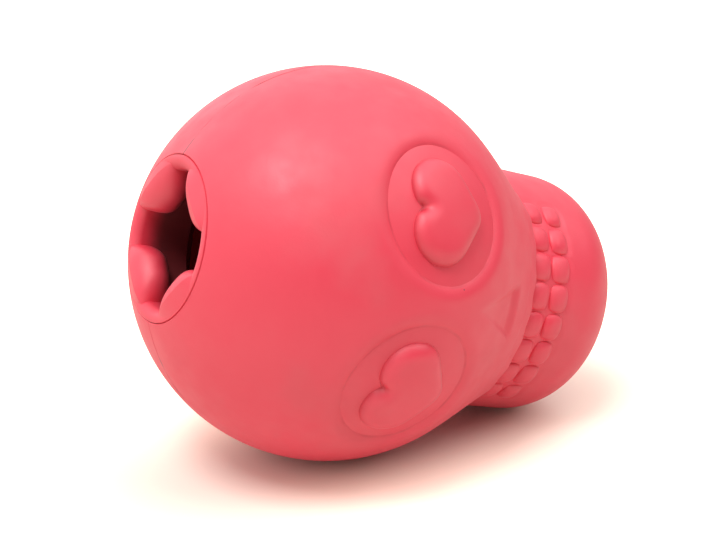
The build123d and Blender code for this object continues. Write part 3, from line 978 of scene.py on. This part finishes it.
def one_eye_shade_line(nodes, link, longitude):
    """Thin line of painted shade round the oval of one eye."""
    laid = nodes.new("ShaderNodeMapping")
    laid.vector_type = "TEXTURE"
    facing = TOY.to_3x3().normalized() @ eye_axes(longitude).to_3x3()
    laid.inputs["Rotation"].default_value = facing.to_euler()
    link(from_centre(nodes, link), laid.inputs["Vector"])
    shares = (1 / EYE_HALF_WIDTH, 1 / EYE_HALF_HEIGHT, 0)
    flat = vector_worked(nodes, link, "MULTIPLY", laid.outputs["Vector"], shares)["Vector"]
    reach = vector_worked(nodes, link, "LENGTH", flat)["Value"]
    spread = worked(nodes, link, "MULTIPLY", reach, EYE_HALF_HEIGHT)
    gap = worked(nodes, link, "SUBTRACT", spread, EYE_HALF_HEIGHT * MM)
    on_line = eased(nodes, link, worked(nodes, link, "ABSOLUTE", gap), EYE_LINE_WIDTH, 0)
    split = nodes.new("ShaderNodeSeparateXYZ")
    link(laid.outputs["Vector"], split.inputs["Vector"])
    front = worked(nodes, link, "GREATER_THAN", split.outputs["Z"], 0)
    return worked(nodes, link, "MULTIPLY", on_line, front)


def eye_line_painted_shade(nodes, link):
    """Thin line of painted shade in the crease where the head's skin meets the sunken floor of each eye."""
    lines = [one_eye_shade_line(nodes, link, side * EYE_ANGLE) for side in (1, -1)]
    both = worked(nodes, link, "MAXIMUM", *lines)
    return broken(nodes, link, both, EYE_LINE_NOISE, EYE_LINE_LEAST)


def rubber(name, grain, shades=()):
    """Satin coral rubber with the shared grain; each shade is a mask and the tone of painted shade that it
    brings in.
    """
    material = bpy.data.materials.new(name)
    material.use_nodes = True
    nodes, link = material.node_tree.nodes, material.node_tree.links.new
    shader = nodes["Principled BSDF"]
    skin = nodes.new("ShaderNodeGroup")
    skin.node_tree = grain
    skin.inputs["Tone"].default_value = CORAL
    skin.inputs["Deep tone"].default_value = CORAL_DEEP
    skin.inputs["Bloom tone"].default_value = BLOOM_TONE
    skin.inputs["Bloom"].default_value = BLOOM_SHARE
    colour = skin.outputs["Color"]
    for mask, tone in shades:
        colour = blended(nodes, link, mask(nodes, link), colour, tone)
    relief = nodes.new("ShaderNodeBump")
    relief.inputs["Strength"].default_value = RELIEF_STRENGTH
    relief.inputs["Distance"].default_value = RELIEF_DEPTH * MM
    link(colour, shader.inputs["Base Color"])
    link(skin.outputs["Roughness"], shader.inputs["Roughness"])
    link(skin.outputs["Height"], relief.inputs["Height"])
    link(relief.outputs["Normal"], shader.inputs["Normal"])
    shader.inputs["Specular IOR Level"].default_value = SHINE
    shader.inputs["Sheen Weight"].default_value = SHEEN
    shader.inputs["Sheen Roughness"].default_value = SHEEN_SOFTNESS
    return material


def pale_floor():
    """Near-white floor: a little light of its own for the camera, all white away from the toy."""
    material = bpy.data.materials.new("pale_floor")
    material.use_nodes = True
    nodes, link = material.node_tree.nodes, material.node_tree.links.new
    shader = nodes["Principled BSDF"]
    shader.inputs["Base Color"].default_value = FLOOR_TONE
    shader.inputs["Roughness"].default_value = FLOOR_ROUGHNESS
    shader.inputs["Specular IOR Level"].default_value = FLOOR_SHINE
    patch = nodes.new("ShaderNodeMapping")
    patch.vector_type = "TEXTURE"
    patch.inputs["Location"].default_value = FLOOR_MIDDLE
    patch.inputs["Scale"].default_value = FLOOR_PATCH
    link(nodes.new("ShaderNodeTexCoord").outputs["Object"], patch.inputs["Vector"])
    reach = vector_worked(nodes, link, "LENGTH", patch.outputs["Vector"])["Value"]
    away = stretched(nodes, link, reach, (FLOOR_NEAR, FLOOR_FAR), (0, FLOOR_WHITE), "SMOOTHSTEP")
    ray = nodes.new("ShaderNodeLightPath").outputs
    reflected = worked(nodes, link, "MULTIPLY", ray["Is Glossy Ray"], FLOOR_REFLECTED)
    seen = worked(nodes, link, "MAXIMUM", ray["Is Camera Ray"], reflected)
    shader.inputs["Emission Color"].default_value = FLOOR_GLOW
    link(worked(nodes, link, "MULTIPLY", away, seen), shader.inputs["Emission Strength"])
    return material


def add_floor():
    """Pale floor that fades to white for the camera and keeps the toy's shadow."""
    shape = bmesh.new()
    bmesh.ops.create_grid(shape, x_segments=1, y_segments=1, size=FLOOR_HALF_SIZE)
    mesh = bpy.data.meshes.new("floor")
    shape.to_mesh(mesh)
    shape.free()
    mesh.materials.append(pale_floor())
    new_object("floor", mesh)


def add_lamp(name, side, size, power):
    """Square soft lamp that shines on the toy from one side."""
    lamp = bpy.data.lights.new(name, "AREA")
    lamp.size = size
    lamp.energy = power
    holder = new_object(name, lamp)
    facing = Vector(side).normalized()
    holder.location = HEAD_CENTRE + facing * LAMP_DISTANCE
    holder.rotation_mode = "QUATERNION"
    holder.rotation_quaternion = facing.to_track_quat("Z", "Y")


def add_world():
    """Light tent: white to the camera, and for light and gloss brighter above and behind than in front."""
    world = bpy.data.worlds.new("studio")
    bpy.context.scene.world = world
    world.use_nodes = True
    nodes, link = world.node_tree.nodes, world.node_tree.links.new
    background = nodes["Background"]
    background.inputs["Color"].default_value = (1, 1, 1, 1)
    direction = nodes.new("ShaderNodeTexCoord").outputs["Generated"]
    facing = vector_worked(nodes, link, "DOT_PRODUCT", direction, TENT_SIDE)["Value"]
    tent = stretched(nodes, link, facing, (TENT_FROM, TENT_TO), (TENT_DIM, TENT_BRIGHT))
    ray = nodes.new("ShaderNodeLightPath").outputs
    share = stretched(nodes, link, ray["Is Glossy Ray"], (0, 1), (TENT_LIGHT, 1))
    level = worked(nodes, link, "MULTIPLY", tent, share)
    seen = blended(nodes, link, ray["Is Camera Ray"], level, 1.0, kind="FLOAT")
    link(seen, background.inputs["Strength"])


def add_camera():
    """Camera at the photograph's viewing angle."""
    turn, tilt = math.radians(CAMERA_AZIMUTH), math.radians(CAMERA_ELEVATION)
    right = Vector((math.cos(turn), math.sin(turn), 0))
    back = Vector((math.sin(turn) * math.cos(tilt), -math.cos(turn) * math.cos(tilt), math.sin(tilt)))
    up = back.cross(right)
    camera = new_object("camera", bpy.data.cameras.new("camera"))
    camera.data.lens = CAMERA_LENS
    camera.data.clip_start = CAMERA_NEAR_CLIP * MM
    offset = right * CAMERA_ASIDE + up * CAMERA_RAISE + back * CAMERA_DISTANCE
    axes = Matrix((right, up, back)).transposed().to_4x4()
    camera.matrix_world = Matrix.Translation(HEAD_CENTRE + offset * MM) @ axes
    bpy.context.scene.camera = camera


GRAIN = rubber_grain()
SKIN_RUBBER = rubber("coral_rubber_skin", GRAIN)
# The shades are painted shade: the hollow's wall, the parting line, the eyes' ovals, the throat and the
# hearts' feet
HEAD_SHADES = ((hollow_painted_shade, HOLLOW_PAINTED_SHADE), (seam_painted_shade, SEAM_PAINTED_SHADE), (eye_line_painted_shade, EYE_LINE_PAINTED_SHADE))
HEAD_RUBBER = rubber("coral_rubber_head", GRAIN, HEAD_SHADES)
MOUTH_RUBBER = rubber("coral_rubber_mouth", GRAIN, ((throat_painted_shade, THROAT_PAINTED_SHADE),))
HEART_RUBBER = rubber("coral_rubber_heart", GRAIN, ((heart_foot_painted_shade, HEART_FOOT_PAINTED_SHADE),))

head_front(HEAD_RUBBER)
head_back(HEAD_RUBBER)
jaw_skin(SKIN_RUBBER)
mouth_collar(MOUTH_RUBBER)
for place, angle in LUG_ANGLES.items():
    lug(place, angle, MOUTH_RUBBER)
for side, direction in (("left", 1), ("right", -1)):
    eye_floor(side, direction * EYE_ANGLE, HEAD_RUBBER)
    heart(side, direction * EYE_ANGLE, HEART_RUBBER)
for row in TOOTH_ROWS:
    tooth_row(row, SKIN_RUBBER)

bpy.context.scene.view_settings.view_transform = "Standard"
add_floor()
add_world()
add_lamp("softbox", SOFTBOX_SIDE, SOFTBOX_SIZE, SOFTBOX_POWER)
add_lamp("overhead", OVERHEAD_SIDE, OVERHEAD_SIZE, OVERHEAD_POWER)
add_camera()
